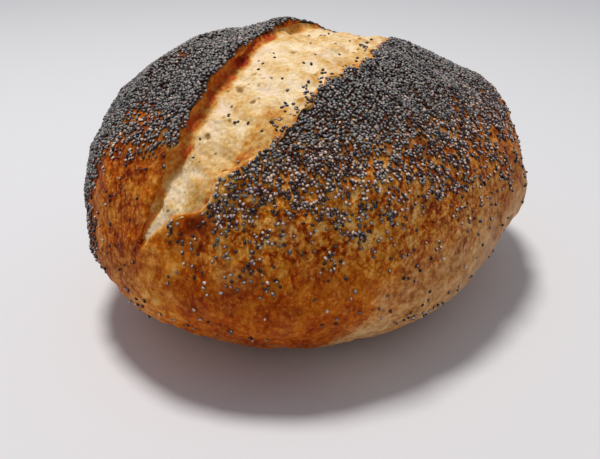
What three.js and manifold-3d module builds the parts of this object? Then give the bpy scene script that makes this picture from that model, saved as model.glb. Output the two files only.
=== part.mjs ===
// Oval hearth loaf with one long cut along its top and poppy seed over its crust.
// Millimetres. +X runs along the loaf, +Y points to the raised lip of the cut, +Z is up.
// The origin lies on the table, under the middle of the loaf.
import * as THREE from 'three';
import { mergeGeometries, mergeVertices } from 'three/addons/utils/BufferGeometryUtils.js';
import Module from 'manifold-3d';

// Loaf
const LENGTH = 198;
const WIDTH = 155;
const WAIST_HEIGHT = 37; // level at which the loaf is widest
const CROWN_RISE = 68.5; // from the waist up to the top of the uncut loaf
const UNDERSIDE_DROP = 48; // from the waist down, if the base had not settled flat
const TOP_FULLNESS = 2.22; // exponent of the superellipse above the waist, 2 is an ellipse
const FOOT_FULLNESS = 1.8; // the same under the waist, where the sides run straighter
const LEAN_ALONG = -0.15; // share of its rise that the crown gains towards +X
const LEAN_ACROSS = 0.085; // share of its rise that the crown gains towards +Y
const BASE_ROUNDING = 4; // height over which the sides run into the flat base

// Bulges and hollows of the hand-shaped dough: compass angle from +X, angle above the waist, height
const BULGES = [
  { around: -65, above: -20, height: -3.5 },
  { around: -82, above: -48, height: 1.8 },
  { around: 101, above: 47, height: 2 },
  { around: 72, above: 63, height: -3.4 },
  { around: -35, above: 35, height: 0.8 },
  { around: 20, above: 46, height: -3 },
];
const BULGE_SPREAD = 24; // degrees

// Cut, seen from above at stations along the loaf: where its lip and its open edge run, how far the lip is
// lifted off the loaf's round form, how far the crumb at the lip's foot lies below that form, and how deep
// the lip's face is hollowed
const CUT = [
  { along: -98, lip: -3, edge: -6, lift: 0, depth: 0, hollow: 0 },
  { along: -93, lip: -6, edge: -15.5, lift: 0.5, depth: 1.6, hollow: 0.1 },
  { along: -87, lip: -7.3, edge: -26, lift: 0.9, depth: 2.8, hollow: 0.4 },
  { along: -80, lip: -7.2, edge: -28, lift: 1.4, depth: 3.2, hollow: 0.6 },
  { along: -70, lip: -5.4, edge: -33.5, lift: 1.9, depth: 3.4, hollow: 1.2 },
  { along: -60, lip: -3, edge: -35, lift: 2.2, depth: 3.6, hollow: 1.8 },
  { along: -48, lip: -0.4, edge: -33.8, lift: 2, depth: 3, hollow: 1.6 },
  { along: -35, lip: 3, edge: -32, lift: 1.7, depth: 1.8, hollow: 0.6 },
  { along: -20, lip: 7, edge: -30, lift: 2.2, depth: 1, hollow: 0.4 },
  { along: -4, lip: 11.3, edge: -26, lift: 3.8, depth: 0.8, hollow: 0.4 },
  { along: 9, lip: 14.2, edge: -21.5, lift: 3.6, depth: 0.8, hollow: 0.3 },
  { along: 20, lip: 16.2, edge: -17, lift: 1.7, depth: 0.8, hollow: 0.1 },
  { along: 32, lip: 17.8, edge: -12, lift: 0, depth: 1.1, hollow: 0 },
  { along: 52, lip: 19.4, edge: -3, lift: 0, depth: 0.9, hollow: 0 },
  { along: 75, lip: 18.6, edge: 7, lift: 0, depth: 0.9, hollow: 0 },
  { along: 94, lip: 16, edge: 12, lift: 0, depth: 0, hollow: 0 },
];
const LIP_RISE = 1.7; // power by which the lip's face sweeps up from the crumb
const LIP_FACE = 3.4; // width of the lip's face, seen from above
const LIP_WIDEST = 0.4; // share of the opening that the lip's face takes up at most
const LIP_REACH = 8; // how far behind its edge the crust is lifted
const PARTED_HEIGHT = 0.8; // height of the lip over the crumb from which on the crumb lies open
const EDGE_STEP = 1; // height of the torn crust's open edge over the crumb beside it
const EDGE_SHARE = 0.2; // share of the crumb's width over which it comes up to the open edge
const TORN_RELIEF = 0.7; // half height of the ridges in the torn crumb
const TORN_LENGTH = 23; // distance from ridge to ridge along the cut
const TORN_WIDTH = 14; // distance from ridge to ridge across it

// Poppy seed: the few largest seeds, the rest of the covering is too fine for the solid
const SEED_LENGTH = 1.4;
const SEED_WIDTH = 1.15;
const SEED_HEIGHT = 1.1;
const SEED_LIFT = 0.2; // height of a seed's middle over the crust
const SEED_DIRECTIONS = 560; // even directions round the loaf at which a seed may lie
const SEED_FREE_HEIGHT = 12; // no seed lies lower
const SEED_FULL_HEIGHT = 62; // from here up every direction has its seed
const SEED_DRAW = 41; // start of the random draw

// Facets
const RINGS = 52;
const EDGE_COLUMNS = 13;
const CRUMB_COLUMNS = 8;
const LIP_COLUMNS = 4;
const BACK_COLUMNS = 14;

const CRUST_COLOUR = 0xb0732f;

const { clamp, lerp, degToRad, smoothstep, seededRandom } = THREE.MathUtils;
const WAIST = new THREE.Vector3(0, 0, WAIST_HEIGHT);
const BOTTOM = degToRad(270);
const UP = new THREE.Vector3(0, 0, 1);

function fullnessAt(angle) {
  return lerp(TOP_FULLNESS, FOOT_FULLNESS, Math.max(0, -Math.sin(angle)));
}

// Half size of a cross-section as a share of the widest one, at a share of the half length
function sectionSize(share, fullness) {
  return Math.max(0, 1 - Math.abs(share) ** fullness) ** (1 / fullness);
}

// Runs softly into zero where a height passes below it
function settle(height) {
  if (height > BASE_ROUNDING) return height;
  const part = clamp((height + BASE_ROUNDING) / (2 * BASE_ROUNDING), 0, 1);
  return BASE_ROUNDING * part * part;
}

function direction(around, above) {
  const polar = degToRad(90 - above);
  const compass = degToRad(around);
  const level = Math.sin(polar);
  return new THREE.Vector3(level * Math.cos(compass), level * Math.sin(compass), Math.cos(polar));
}

// Point of the uncut loaf: share of the half length, and angle in the section, which is 0 at +Y and
// 90 degrees at the top
function uncutLoaf(share, angle) {
  const fullness = fullnessAt(angle);
  const across = Math.cos(angle);
  const upward = Math.sin(angle);
  const reach = (Math.abs(across) ** fullness + Math.abs(upward) ** fullness) ** (-1 / fullness);
  const size = sectionSize(share, fullness) * reach;
  const side = size * across;
  const rise = CROWN_RISE * (1 + LEAN_ALONG * share + LEAN_ACROSS * side);
  const height = size * upward * (upward > 0 ? rise : UNDERSIDE_DROP);
  const point = new THREE.Vector3((LENGTH / 2) * share, (WIDTH / 2) * side, WAIST_HEIGHT + height);
  const outward = point.clone().sub(WAIST).normalize();
  for (const bulge of BULGES) {
    const away = outward.angleTo(direction(bulge.around, bulge.above)) / degToRad(BULGE_SPREAD);
    point.addScaledVector(outward, bulge.height * Math.exp(-away * away));
  }
  point.z = settle(point.z);
  return point;
}

// Smooth course of one column of the cut's stations
function cutAt(along, key) {
  const last = CUT.length - 1;
  const place = clamp(along, CUT[0].along, CUT[last].along);
  const next = Math.max(1, CUT.findIndex((station) => station.along >= place));
  const slopeAt = (index) => {
    const before = CUT[Math.max(index - 1, 0)];
    const after = CUT[Math.min(index + 1, last)];
    return (after[key] - before[key]) / (after.along - before.along);
  };
  const from = CUT[next - 1];
  const to = CUT[next];
  const span = to.along - from.along;
  const t = (place - from.along) / span;
  const start = (2 * t ** 3 - 3 * t ** 2 + 1) * from[key];
  const leaving = (t ** 3 - 2 * t ** 2 + t) * span * slopeAt(next - 1);
  const end = (3 * t ** 2 - 2 * t ** 3) * to[key];
  const arriving = (t ** 3 - t ** 2) * span * slopeAt(next);
  return start + leaving + end + arriving;
}

// Angle in the section at which a line of the cut runs. Past its ends the cut keeps its last angles.
function cutAngle(share, key) {
  const along = clamp((share * LENGTH) / 2, CUT[0].along, CUT[CUT.length - 1].along);
  const size = sectionSize((2 * along) / LENGTH, TOP_FULLNESS);
  const side = cutAt(along, key) / ((WIDTH / 2) * size);
  return Math.atan2((1 - Math.abs(side) ** TOP_FULLNESS) ** (1 / TOP_FULLNESS), side);
}

// One ring of the cut loaf: up the open side, over the crumb, up the face of the lip, down the far side
function ring(share) {
  const along = (share * LENGTH) / 2;
  const lift = Math.max(0, cutAt(along, 'lift'));
  const depth = Math.max(0, cutAt(along, 'depth'));
  const hollow = Math.max(0, cutAt(along, 'hollow'));
  const opened = smoothstep(lift + depth, 0, PARTED_HEIGHT);
  const edgeAngle = cutAngle(share, 'edge');
  const lipAngle = cutAngle(share, 'lip');
  const faceAngle = LIP_FACE / ((WIDTH / 2) * sectionSize(share, TOP_FULLNESS));
  const footAngle = lipAngle + Math.min(faceAngle, LIP_WIDEST * (edgeAngle - lipAngle));
  const points = [];
  const place = (angle, sideways, upward) => {
    const point = uncutLoaf(share, angle);
    const normal = new THREE.Vector3(
      point.x / (LENGTH / 2) ** 2,
      point.y / (WIDTH / 2) ** 2,
      (point.z - WAIST_HEIGHT) / CROWN_RISE ** 2,
    ).normalize();
    const toLip = new THREE.Vector3(0, 1, 0).addScaledVector(normal, -normal.y).normalize();
    points.push(point.addScaledVector(normal, upward).addScaledVector(toLip, sideways));
  };
  for (let column = 0; column < EDGE_COLUMNS; column++) {
    place(lerp(BOTTOM, edgeAngle, column / EDGE_COLUMNS), 0, 0);
  }
  for (let column = 0; column < CRUMB_COLUMNS; column++) {
    const t = column / CRUMB_COLUMNS;
    const angle = lerp(edgeAngle, footAngle, t);
    const across = uncutLoaf(share, angle).y;
    const ridgeAlong = Math.sin((2 * Math.PI * along) / TORN_LENGTH);
    const ridgeAcross = Math.cos((2 * Math.PI * across) / TORN_WIDTH);
    const inside = smoothstep(t, 0, EDGE_SHARE) * opened;
    const relief = TORN_RELIEF * ridgeAlong * ridgeAcross - EDGE_STEP * (1 - t);
    place(angle, 0, inside * relief - depth * t);
  }
  for (let column = 0; column < LIP_COLUMNS; column++) {
    const t = column / LIP_COLUMNS;
    const upward = (lift + depth) * t ** LIP_RISE - depth;
    place(lerp(footAngle, lipAngle, t), hollow * Math.sin(Math.PI * t), upward);
  }
  for (let column = 0; column < BACK_COLUMNS; column++) {
    const angle = lerp(lipAngle, BOTTOM - 2 * Math.PI, column / BACK_COLUMNS);
    const behind = ((lipAngle - angle) * CROWN_RISE) / LIP_REACH;
    place(angle, 0, lift * Math.exp(-behind * behind));
  }
  return points;
}

// Closed skin of the loaf: rings from the +X end to the -X end, with a fan over each end
function loafSkin() {
  const columns = EDGE_COLUMNS + CRUMB_COLUMNS + LIP_COLUMNS + BACK_COLUMNS;
  const points = [uncutLoaf(1, 0)];
  for (let index = 1; index < RINGS; index++) {
    points.push(...ring(Math.cos((Math.PI * index) / RINGS)));
  }
  points.push(uncutLoaf(-1, 0));
  const triangles = [];
  const isCrust = [];
  const vertex = (index, column) => 1 + (index - 1) * columns + (column % columns);
  const addTriangle = (a, b, c, column) => {
    triangles.push(a, b, c);
    isCrust.push(column < EDGE_COLUMNS - 1 || column > EDGE_COLUMNS + CRUMB_COLUMNS + LIP_COLUMNS);
  };
  for (let column = 0; column < columns; column++) {
    addTriangle(0, vertex(1, column + 1), vertex(1, column), column);
    for (let index = 1; index < RINGS - 1; index++) {
      const a = vertex(index, column);
      const b = vertex(index, column + 1);
      const c = vertex(index + 1, column);
      const d = vertex(index + 1, column + 1);
      addTriangle(a, b, c, column);
      addTriangle(b, d, c, column);
    }
    addTriangle(points.length - 1, vertex(RINGS - 1, column), vertex(RINGS - 1, column + 1), column);
  }
  const geometry = new THREE.BufferGeometry().setFromPoints(points);
  geometry.setIndex(triangles);
  return { geometry, isCrust };
}

// Seeds, half sunk in the crust: even directions round the loaf, thinning out down its sides
function seedCovering(skin) {
  seededRandom(SEED_DRAW);
  const target = new THREE.Mesh(skin.geometry);
  const raycaster = new THREE.Raycaster();
  const goldenAngle = Math.PI * (3 - Math.sqrt(5));
  const seeds = [];
  for (let index = 0; index < SEED_DIRECTIONS; index++) {
    const upward = 1 - (2 * (index + 0.5)) / SEED_DIRECTIONS;
    const level = Math.sqrt(1 - upward * upward);
    const turn = index * goldenAngle;
    const outward = new THREE.Vector3(level * Math.cos(turn), level * Math.sin(turn), upward);
    raycaster.set(WAIST.clone().addScaledVector(outward, LENGTH), outward.clone().negate());
    const [hit] = raycaster.intersectObject(target);
    const chance = smoothstep(hit.point.z, SEED_FREE_HEIGHT, SEED_FULL_HEIGHT);
    const spin = 2 * Math.PI * seededRandom();
    if (!skin.isCrust[hit.faceIndex] || seededRandom() > chance) continue;
    const seed = new THREE.IcosahedronGeometry(0.5, 0);
    seed.scale(SEED_LENGTH, SEED_WIDTH, SEED_HEIGHT);
    seed.rotateZ(spin);
    seed.applyQuaternion(new THREE.Quaternion().setFromUnitVectors(UP, hit.face.normal));
    const middle = hit.point.addScaledVector(hit.face.normal, SEED_LIFT);
    seeds.push(seed.translate(middle.x, middle.y, middle.z));
  }
  return mergeGeometries(seeds);
}

const wasm = await Module();
wasm.setup();

function toSolid(geometry) {
  const bare = geometry.clone();
  bare.deleteAttribute('normal');
  bare.deleteAttribute('uv');
  const welded = mergeVertices(bare);
  return new wasm.Manifold(new wasm.Mesh({
    numProp: 3,
    vertProperties: new Float32Array(welded.attributes.position.array),
    triVerts: new Uint32Array(welded.index.array),
  }));
}

function toGeometry(solid) {
  const mesh = solid.getMesh();
  const geometry = new THREE.BufferGeometry();
  const positions = new Float32Array(mesh.vertProperties);
  geometry.setAttribute('position', new THREE.BufferAttribute(positions, 3));
  geometry.setIndex([...mesh.triVerts]);
  return geometry;
}

const skin = loafSkin();
const loafGeometry = toGeometry(toSolid(skin.geometry).add(toSolid(seedCovering(skin))));
loafGeometry.computeBoundingBox();
const middle = loafGeometry.boundingBox.getCenter(new THREE.Vector3());
loafGeometry.translate(-middle.x, -middle.y, -loafGeometry.boundingBox.min.z);
loafGeometry.computeVertexNormals();

const bread = new THREE.Group();
const loaf = new THREE.Mesh(
  loafGeometry,
  new THREE.MeshStandardMaterial({ color: CRUST_COLOUR, roughness: 0.8, metalness: 0 }),
);
loaf.name = 'loaf';
bread.add(loaf);

export default bread;
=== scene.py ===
import bpy
import numpy as np
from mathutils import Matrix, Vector


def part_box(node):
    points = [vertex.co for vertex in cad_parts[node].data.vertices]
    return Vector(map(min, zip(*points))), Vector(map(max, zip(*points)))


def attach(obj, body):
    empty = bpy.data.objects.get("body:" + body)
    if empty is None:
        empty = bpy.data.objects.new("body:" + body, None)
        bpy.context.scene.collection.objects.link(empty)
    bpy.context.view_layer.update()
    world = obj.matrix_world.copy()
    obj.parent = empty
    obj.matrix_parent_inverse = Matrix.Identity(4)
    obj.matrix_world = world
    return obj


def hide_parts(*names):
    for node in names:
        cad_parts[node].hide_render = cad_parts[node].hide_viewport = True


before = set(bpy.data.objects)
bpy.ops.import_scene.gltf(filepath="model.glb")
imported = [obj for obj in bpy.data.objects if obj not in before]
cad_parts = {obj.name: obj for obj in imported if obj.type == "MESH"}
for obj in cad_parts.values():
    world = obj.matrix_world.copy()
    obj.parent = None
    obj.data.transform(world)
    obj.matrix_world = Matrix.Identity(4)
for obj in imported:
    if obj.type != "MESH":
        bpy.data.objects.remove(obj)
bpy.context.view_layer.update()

# Crust
# The baked skin of one oval loaf of wheat dough, shaped by hand and baked on a hot hearth. The top was
# slashed once, and the oven's heat tore it open along the cut, so that one edge lifted into a lip over
# the torn crumb.
MM = 0.001  # sizes in this file are in millimetres, meshes are in metres

LENGTH = 198.0
WIDTH = 155.0
WAIST_HEIGHT = 37.0  # level at which the loaf is widest
CROWN_RISE = 68.5  # from the waist up to the top of the uncut loaf
UNDERSIDE_DROP = 48.0  # from the waist down, if the base had not settled flat
TOP_FULLNESS = 2.22  # exponent of the superellipse above the waist
FOOT_FULLNESS = 1.8  # the same under the waist
LEAN_ALONG = -0.15  # share of its rise that the crown gains towards +X
LEAN_ACROSS = 0.085  # share of its rise that the crown gains towards +Y
BASE_ROUNDING = 4.0  # height over which the sides run into the flat base

# Bulges and hollows of the dough: compass angle from +X, angle above the waist, height
BULGES = (
    (-65, -20, -3.5), (-82, -48, 1.8), (101, 47, 2.0), (72, 63, -3.4), (-35, 35, 0.8), (20, 46, -3.0))
BULGE_SPREAD = 24.0  # degrees

# Cut, seen from above: place along the loaf, where its lip and its open edge run, how far the lip is lifted
# off the loaf's round form, how far the crumb at its foot lies below that form, and how deep its face is
# hollowed
STATION, LIP, EDGE, LIFT, DEPTH, HOLLOW = range(6)  # columns of this table
CUT = np.array((
    (-98, -3, -6, 0, 0, 0),
    (-93, -6, -15.5, 0.5, 1.6, 0.1),
    (-87, -7.3, -26, 0.9, 2.8, 0.4),
    (-80, -7.2, -28, 1.4, 3.2, 0.6),
    (-70, -5.4, -33.5, 1.9, 3.4, 1.2),
    (-60, -3, -35, 2.2, 3.6, 1.8),
    (-48, -0.4, -33.8, 2, 3, 1.6),
    (-35, 3, -32, 1.7, 1.8, 0.6),
    (-20, 7, -30, 2.2, 1, 0.4),
    (-4, 11.3, -26, 3.8, 0.8, 0.4),
    (9, 14.2, -21.5, 3.6, 0.8, 0.3),
    (20, 16.2, -17, 1.7, 0.8, 0.1),
    (32, 17.8, -12, 0, 1.1, 0),
    (52, 19.4, -3, 0, 0.9, 0),
    (75, 18.6, 7, 0, 0.9, 0),
    (94, 16, 12, 0, 0, 0),
), float)
EDGE_WANDER = ((34, 1.0), (13, 0.9), (5, 0.5))  # lengths and heights of the open edge's uneven course
LIP_WANDER = ((40, 0.9), (15, 0.6), (5, 0.25))  # the same for the lip
LIP_RISE = 1.7  # power by which the lip's face sweeps up from the crumb
LIP_FACE = 3.4  # width of the lip's face, seen from above
LIP_WIDEST = 0.4  # share of the opening that the face takes up at most
LIP_REACH = 8.0  # how far behind its edge the crust is lifted
PARTED_HEIGHT = 0.8  # height of the lip from which on the crumb lies open
FREE_HEIGHTS = (-1.0, 2.0)  # heights of the lip between which the cut's edges come to wander freely
LARGEST_SIDE = 0.95  # share of the half width past which no line of the cut runs
LARGEST_SHARE = 0.98  # share of the half length past which the lip's face gets no wider in angle
EDGE_STEP_PLACES = (-98, -88, -76, -64, 94)  # along the loaf
EDGE_STEPS = (0.4, 0.5, 0.5, 0.4, 0.5)  # height of the crust's open edge over the crumb at these places
TROUGH = 3.0  # depth of the crust's own trough under the crumb


def smoothstep(low, high, value):
    """Eases from 0 at low to 1 at high along the curve 3t^2 - 2t^3. Low may be the larger of the two."""
    t = np.clip((value - low) / (high - low), 0, 1)
    return t * t * (3 - 2 * t)


def unevenness(points, length, draw, waves=28):
    """Smooth random field over points in mm: a sum of plane waves in random directions, each near the given
    length from crest to crest, scaled to a standard deviation of one."""
    random = np.random.default_rng(draw)
    facing = random.normal(size=(waves, 3))
    facing /= np.linalg.norm(facing, axis=1, keepdims=True)
    facing *= (2 * np.pi / (length * random.uniform(0.7, 1.6, waves)))[:, None]
    phase = random.uniform(0, 2 * np.pi, waves)
    flat = np.reshape(points, (-1, 3))
    field = np.sin(flat @ facing.T + phase).sum(axis=1) * np.sqrt(2 / waves)
    return field.reshape(np.shape(points)[:-1])


def layered(points, layers, draw):
    """Sum of unevenness of several lengths and heights, each with the next draw."""
    return sum(height * unevenness(points, length, draw + i) for i, (length, height) in enumerate(layers))


def section_size(share, fullness):
    """Half size of a cross-section as a share of the widest one: (1 - |share|^n)^(1/n)."""
    return np.clip(1 - np.abs(share) ** fullness, 0, 1) ** (1 / fullness)


def uncut_loaf(share, angle):
    """Point of the loaf before the cut, from its share of the half length and its angle in the cross-section,
    0 at +Y and 90 degrees at the top: a superellipse whose crown leans, with soft bulges, settled flat on the
    table along a parabola."""
    across, upward = np.cos(angle), np.sin(angle)
    fullness = TOP_FULLNESS + (FOOT_FULLNESS - TOP_FULLNESS) * np.clip(-upward, 0, 1)
    reach = (np.abs(across) ** fullness + np.abs(upward) ** fullness) ** (-1 / fullness)
    size = section_size(share, fullness) * reach
    side = size * across
    rise = CROWN_RISE * (1 + LEAN_ALONG * share + LEAN_ACROSS * side)
    height = size * upward * np.where(upward > 0, rise, UNDERSIDE_DROP)
    points = np.stack((LENGTH / 2 * share + 0 * angle, WIDTH / 2 * side, WAIST_HEIGHT + height), -1)
    outward = points - (0, 0, WAIST_HEIGHT)
    outward = outward / np.linalg.norm(outward, axis=-1, keepdims=True)
    for around, above, bulge in BULGES:
        around, above = np.radians((around, above))
        middle = np.array((np.cos(above) * np.cos(around), np.cos(above) * np.sin(around), np.sin(above)))
        away = np.degrees(np.arccos(np.clip(outward @ middle, -1, 1))) / BULGE_SPREAD
        points = points + (bulge * np.exp(-away ** 2))[..., None] * outward
    settled = np.clip((points[..., 2] + BASE_ROUNDING) / (2 * BASE_ROUNDING), 0, 1) ** 2 * BASE_ROUNDING
    points[..., 2] = np.where(points[..., 2] > BASE_ROUNDING, points[..., 2], settled)
    return points


def cut_course(along, column):
    """Smooth course of one line of the cut: cubic curves through its stations, whose slope at a station is
    that of the chord between its neighbours."""
    place, value = CUT[:, STATION], CUT[:, column]
    last = len(place) - 1
    before, after = np.maximum(np.arange(last + 1) - 1, 0), np.minimum(np.arange(last + 1) + 1, last)
    slope = (value[after] - value[before]) / (place[after] - place[before])
    along = np.clip(along, place[0], place[-1])
    right = np.clip(np.searchsorted(place, along), 1, last)
    left = right - 1
    span = place[right] - place[left]
    t = (along - place[left]) / span
    start = (2 * t ** 3 - 3 * t ** 2 + 1) * value[left] + (t ** 3 - 2 * t ** 2 + t) * span * slope[left]
    return start + (3 * t ** 2 - 2 * t ** 3) * value[right] + (t ** 3 - t ** 2) * span * slope[right]


def ragged(along, layers, draw):
    """Uneven line along the loaf: the layered unevenness of points on a straight line."""
    return layered(np.stack((along, 0 * along, 0 * along), -1), layers, draw)


def cut_angle(share, column, wander):
    """Angle in the section of a line of the cut, wandering sideways by so many mm. Past its ends the cut
    keeps its last angle."""
    along = np.clip(share * LENGTH / 2, CUT[0, STATION], CUT[-1, STATION])
    size = section_size(2 * along / LENGTH, TOP_FULLNESS)
    free = smoothstep(*FREE_HEIGHTS, cut_course(along, LIFT) + cut_course(along, DEPTH))
    side = (cut_course(along, column) + wander * free) / (WIDTH / 2 * size)
    side = np.clip(side, -LARGEST_SIDE, LARGEST_SIDE)
    return np.arctan2((1 - np.abs(side) ** TOP_FULLNESS) ** (1 / TOP_FULLNESS), side)


class Cut:
    """The cut's measures on rings of the loaf, one value for each share of the half length."""

    def __init__(self, share):
        along = share * LENGTH / 2
        self.lift = np.maximum(cut_course(along, LIFT), 0)
        self.depth = np.maximum(cut_course(along, DEPTH), 0)
        self.drop = self.lift + self.depth
        self.opened = smoothstep(0, PARTED_HEIGHT, self.drop)
        self.step = np.interp(along, EDGE_STEP_PLACES, EDGE_STEPS)
        self.edge = cut_angle(share, EDGE, ragged(along, EDGE_WANDER, 11))
        self.lip = cut_angle(share, LIP, ragged(along, LIP_WANDER, 21))
        self.hollow = np.maximum(cut_course(along, HOLLOW), 0)
        inner_share = np.clip(share, -LARGEST_SHARE, LARGEST_SHARE)
        face = LIP_FACE / (WIDTH / 2 * section_size(inner_share, TOP_FULLNESS))
        self.foot = self.lip + np.minimum(face, LIP_WIDEST * (self.edge - self.lip))

    def lip_face(self, t):
        """Sideways and upward place of the lip's face, from its foot at t = 0 to its top at t = 1: it sweeps
        up by a power of t, and is hollowed under the lip by half a sine."""
        upward = self.drop[:, None] * t ** LIP_RISE - self.depth[:, None]
        return self.hollow[:, None] * np.sin(np.pi * t), upward

    def floor(self, t):
        """Height of the crumb from the open edge at t = 0, where the crust stands above it by a step,
        straight to the foot of the lip at t = 1."""
        return -(self.step * self.opened)[:, None] * (1 - t) - self.depth[:, None] * t


def placed(share, angle, sideways, upward):
    """Points at given angles of the sections, moved sideways towards the lip and upward off the uncut loaf,
    along the normal of an ellipsoid of the loaf's size."""
    points = uncut_loaf(share[:, None], angle)
    normal = (points - (0, 0, WAIST_HEIGHT)) / (LENGTH ** 2, WIDTH ** 2, (2 * CROWN_RISE) ** 2)
    normal /= np.linalg.norm(normal, axis=-1, keepdims=True)
    to_lip = np.array((0, 1, 0)) - normal[..., 1:2] * normal
    to_lip /= np.linalg.norm(to_lip, axis=-1, keepdims=True)
    return points + np.asarray(sideways)[..., None] * to_lip + np.asarray(upward)[..., None] * normal


def ring_faces(rings, columns):
    """Faces of a closed skin of rings with a point at each end: quads between rings, and triangles to the
    ends. Vertices are the first end, the rings one after the other, and the last end. Each face corner gets
    its place round and along the skin as a map."""
    ring = np.arange(rings)[:, None]
    column = np.arange(columns)[None, :]
    at = 1 + ring * columns + column
    beside = 1 + ring * columns + (column + 1) % columns
    quads = np.stack((at[:-1], beside[:-1], beside[1:], at[1:]), -1).reshape(-1, 4)
    first = np.stack((np.zeros(columns, int), beside[0], at[0]), -1)
    last = np.stack((np.full(columns, 1 + rings * columns), at[-1], beside[-1]), -1)
    across = (np.arange(columns)[:, None] + (0, 1, 1, 0)) / columns
    level = (np.arange(rings) + 1) / (rings + 1)
    quad_levels = np.stack((level[:-1], level[:-1], level[1:], level[1:]), -1)[:, None]
    quad_maps = np.stack(np.broadcast_arrays(across[None], quad_levels), -1)
    ends = np.stack((across.mean(1), across[:, 1], across[:, 0]), -1)
    first_levels = np.broadcast_to((0, level[0], level[0]), ends.shape)
    last_levels = np.broadcast_to((1, level[-1], level[-1]), ends.shape)
    first_maps = np.stack((ends, first_levels), -1)
    last_maps = np.stack((ends[:, (0, 2, 1)], last_levels), -1)
    maps = np.concatenate((quad_maps.reshape(-1, 2), first_maps.reshape(-1, 2), last_maps.reshape(-1, 2)))
    return quads, np.concatenate((first, last)), maps


def make_piece(name, points, quads, triangles, maps, attributes):
    """Smooth mesh object at the origin from points in mm, its faces, a map for each face corner, and a number
    for each vertex under each attribute's name."""
    mesh = bpy.data.meshes.new(name)
    corners = np.concatenate((quads.ravel(), triangles.ravel())).astype(np.int32)
    sizes = np.concatenate((np.full(len(quads), 4), np.full(len(triangles), 3))).astype(np.int32)
    mesh.vertices.add(len(points))
    mesh.vertices.foreach_set("co", (np.asarray(points) * MM).astype(np.float32).ravel())
    mesh.loops.add(len(corners))
    mesh.loops.foreach_set("vertex_index", corners)
    mesh.polygons.add(len(sizes))
    mesh.polygons.foreach_set("loop_start", (np.cumsum(sizes) - sizes).astype(np.int32))
    mesh.polygons.foreach_set("use_smooth", np.ones(len(sizes), bool))
    layer = mesh.uv_layers.new(name="OFBake")
    layer.uv.foreach_set("vector", maps.astype(np.float32).ravel())
    for key, values in attributes.items():
        attribute = mesh.attributes.new(key, "FLOAT", "POINT")
        attribute.data.foreach_set("value", np.asarray(values, np.float32).ravel())
    mesh.update(calc_edges=True)
    mesh.validate()
    piece = bpy.data.objects.new(name, mesh)
    bpy.context.scene.collection.objects.link(piece)
    return piece


def grid_normals(grid):
    """Unit normals of a grid of points whose columns run round: the cross product of its two slopes."""
    round_slope = np.roll(grid, -1, 1) - np.roll(grid, 1, 1)
    normals = np.cross(round_slope, np.gradient(grid, axis=0))
    return normals / np.maximum(np.linalg.norm(normals, axis=-1, keepdims=True), 1e-9)


def between(start, end, t):
    """Straight steps from start to end, one row for each ring."""
    return start[:, None] + (end - start)[:, None] * t[None, :]


CRUST_RINGS = 314
OPEN_COLUMNS = 128  # from the middle of the base up to the open edge
RIM_COLUMNS = 7  # round the torn edge of the crust
TROUGH_COLUMNS = 9  # hidden under the crumb
FACE_COLUMNS = 22  # the face of the lip
BACK_COLUMNS = 148  # from the lip down to the middle of the base
OPEN_CROWDING = 1.1  # power that crowds the columns of the open side towards its edge
BACK_CROWDING = 1.15  # power that crowds the columns of the far side towards the lip
RIM_DEPTH = 2.6  # how far the torn edge of the crust turns down
RIM_ROUNDING = 1.3
BEHIND_CRUMB = 2.6  # how far the crust's lip stands back behind the crumb that clings to it
CRUST_THICKNESS = 0.5  # how far the crust's edge stands proud of the crumb under the lip
PROUD_SHARES = (0.72, 0.92)  # shares of the face's height between which the crust comes forward
TROUGH_END = 0.5  # share of the face's height at which the trough has run out
EDGE_FADE = 6.0  # how much sooner the proud edge fades behind the lip than the lift does
BOTTOM = np.radians(270.0)

crust_share = np.cos(np.pi * np.arange(1, CRUST_RINGS) / CRUST_RINGS)
cut = Cut(crust_share)
opened = cut.opened[:, None]

# The open side, its torn rim, the trough under the crumb, the face of the lip and the far side
full_turn = np.full_like(crust_share, BOTTOM)
open_steps = np.linspace(0, 1, OPEN_COLUMNS, endpoint=False)
rim_steps = np.linspace(0, 1, RIM_COLUMNS, endpoint=False)
trough_steps = np.linspace(0, 1, TROUGH_COLUMNS, endpoint=False)
face_steps = np.linspace(0, 1, FACE_COLUMNS, endpoint=False)
back_steps = np.linspace(0, 1, BACK_COLUMNS, endpoint=False)
open_angle = between(full_turn, cut.edge, 1 - (1 - open_steps) ** OPEN_CROWDING)
rim_angle = np.repeat(cut.edge[:, None], RIM_COLUMNS, 1)
rim_side = RIM_ROUNDING * np.sin(np.pi / 2 * rim_steps)[None, :] * opened
rim_up = -RIM_DEPTH * (1 - np.cos(np.pi / 2 * rim_steps))[None, :] * opened
trough_angle = between(cut.edge, cut.foot, trough_steps)
trough_side = RIM_ROUNDING * opened * (1 - trough_steps)
trough_up = cut.floor(trough_steps[None, :]) - TROUGH * opened
face_angle = between(cut.foot, cut.lip, face_steps)
face_side, face_up = cut.lip_face(face_steps[None, :])
proud = smoothstep(*PROUD_SHARES, face_steps)[None, :]
face_side = face_side + (BEHIND_CRUMB * (1 - proud) - CRUST_THICKNESS * proud) * opened
face_up = face_up - TROUGH * (1 - smoothstep(0, TROUGH_END, face_steps))[None, :] * opened
back_angle = between(cut.lip, full_turn - 2 * np.pi, back_steps ** BACK_CROWDING)
behind_lip = (cut.lip[:, None] - back_angle) * CROWN_RISE / LIP_REACH
back_side = -CRUST_THICKNESS * opened * np.exp(-behind_lip * EDGE_FADE)
back_up = cut.lift[:, None] * np.exp(-behind_lip ** 2)
crust_grid = np.concatenate((
    placed(crust_share, open_angle, 0 * open_steps, 0 * open_steps),
    placed(crust_share, rim_angle, rim_side, rim_up),
    placed(crust_share, trough_angle, trough_side, trough_up),
    placed(crust_share, face_angle, face_side, face_up),
    placed(crust_share, back_angle, back_side, back_up),
), 1)

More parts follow.
